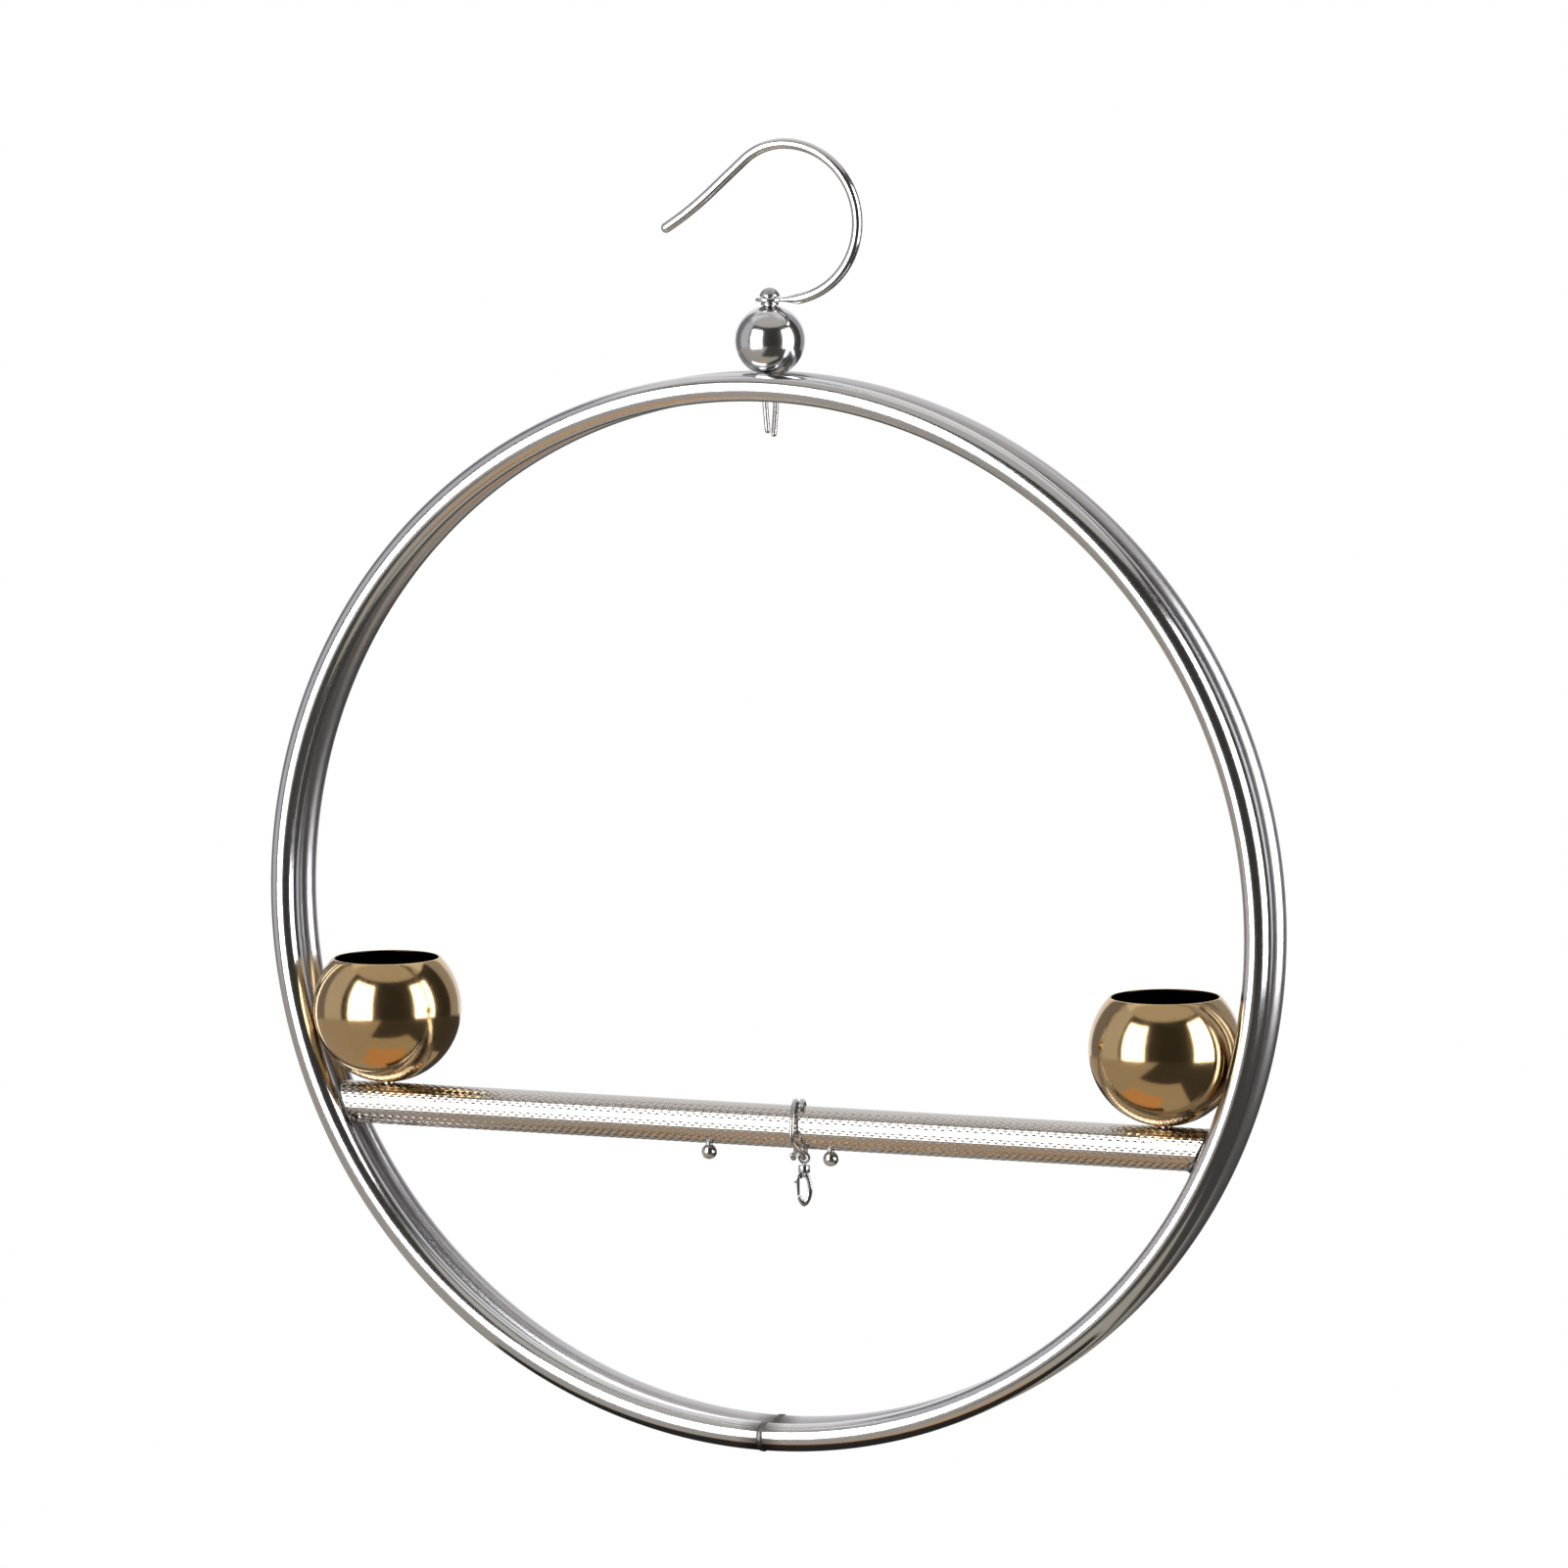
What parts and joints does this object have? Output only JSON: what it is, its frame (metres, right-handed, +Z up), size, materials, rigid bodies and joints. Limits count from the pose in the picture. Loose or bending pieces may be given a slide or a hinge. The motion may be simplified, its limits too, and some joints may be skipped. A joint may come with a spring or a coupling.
{
  "type": "hanging bird perch ring",
  "caption": "Hanging bird play perch: a double tube ring on a swivel hook, a knurled perch bar with globe seed cups, and a sliding leg loop with a trigger clip.",
  "frame": {"origin": "saddle of the hook: the inner side of its bend, straight above the swivel pin, where it rests on a rail", "axes": "+Z up, +X along the perch bar to the right, +Y from the front ring to the rear ring"},
  "size_m": [0.386, 0.054, 0.47],
  "materials": {
    "polished_steel": "mirror-polished stainless steel",
    "drawn_steel": "drawn stainless steel",
    "knurled_steel": "diamond-knurled stainless steel",
    "gilt_steel": "polished steel with a pale gold tint",
    "weld_steel": "brushed weld bead"
  },
  "bodies": {
    "hook": {"hook": "polished_steel"},
    "frame": {"hanger_ball": "polished_steel", "front_ring": "polished_steel", "rear_ring": "polished_steel", "left_stop_pin": "polished_steel", "right_stop_pin": "polished_steel", "split_pin": "drawn_steel", "swivel_bush": "drawn_steel", "left_bar_cap": "drawn_steel", "right_bar_cap": "drawn_steel", "left_cup_washer": "drawn_steel", "left_cup_screw": "drawn_steel", "left_cup_insert": "drawn_steel", "right_cup_washer": "drawn_steel", "right_cup_screw": "drawn_steel", "right_cup_insert": "drawn_steel", "perch_bar": "knurled_steel", "left_cup": "gilt_steel", "right_cup": "gilt_steel", "front_ring_weld": "weld_steel", "rear_ring_weld": "weld_steel", "left_front_bar_weld": "weld_steel", "left_rear_bar_weld": "weld_steel", "right_front_bar_weld": "weld_steel", "right_rear_bar_weld": "weld_steel"},
    "loop": {"leg_loop": "drawn_steel"},
    "eye": {"clip_eye": "drawn_steel"},
    "claw": {"clip_body": "polished_steel", "clip_trigger_pin": "drawn_steel", "clip_spring": "drawn_steel"},
    "trigger": {"clip_trigger": "polished_steel"}
  },
  "joints": [
    {"name": "hook_swivel", "type": "hinge", "parent": "hook", "child": "frame", "pos_m": [0, 0, -0.05219], "axis": [0, 0, 1], "continuous": true},
    {"name": "loop_slide", "type": "slide", "parent": "frame", "child": "loop", "axis": [1, 0, 0], "range_m": [-0.0274, 0.0041]},
    {"name": "clip_swing", "type": "hinge", "parent": "loop", "child": "eye", "pos_m": [0.01002, 0.00053, -0.35836], "axis": [-0.2924, 0.9563, 0], "range_deg": [-30, 30]},
    {"name": "clip_swivel", "type": "hinge", "parent": "eye", "child": "claw", "pos_m": [0.01002, 0.00053, -0.35836], "axis": [0, 0, 1], "continuous": true},
    {"name": "trigger_press", "type": "hinge", "parent": "claw", "child": "trigger", "pos_m": [0.00873, 0.00013, -0.36496], "axis": [0.2924, -0.9563, 0], "range_deg": [0, 22], "stiffness_Nm_per_rad": 0.004, "springref_deg": -11.46}
  ]
}
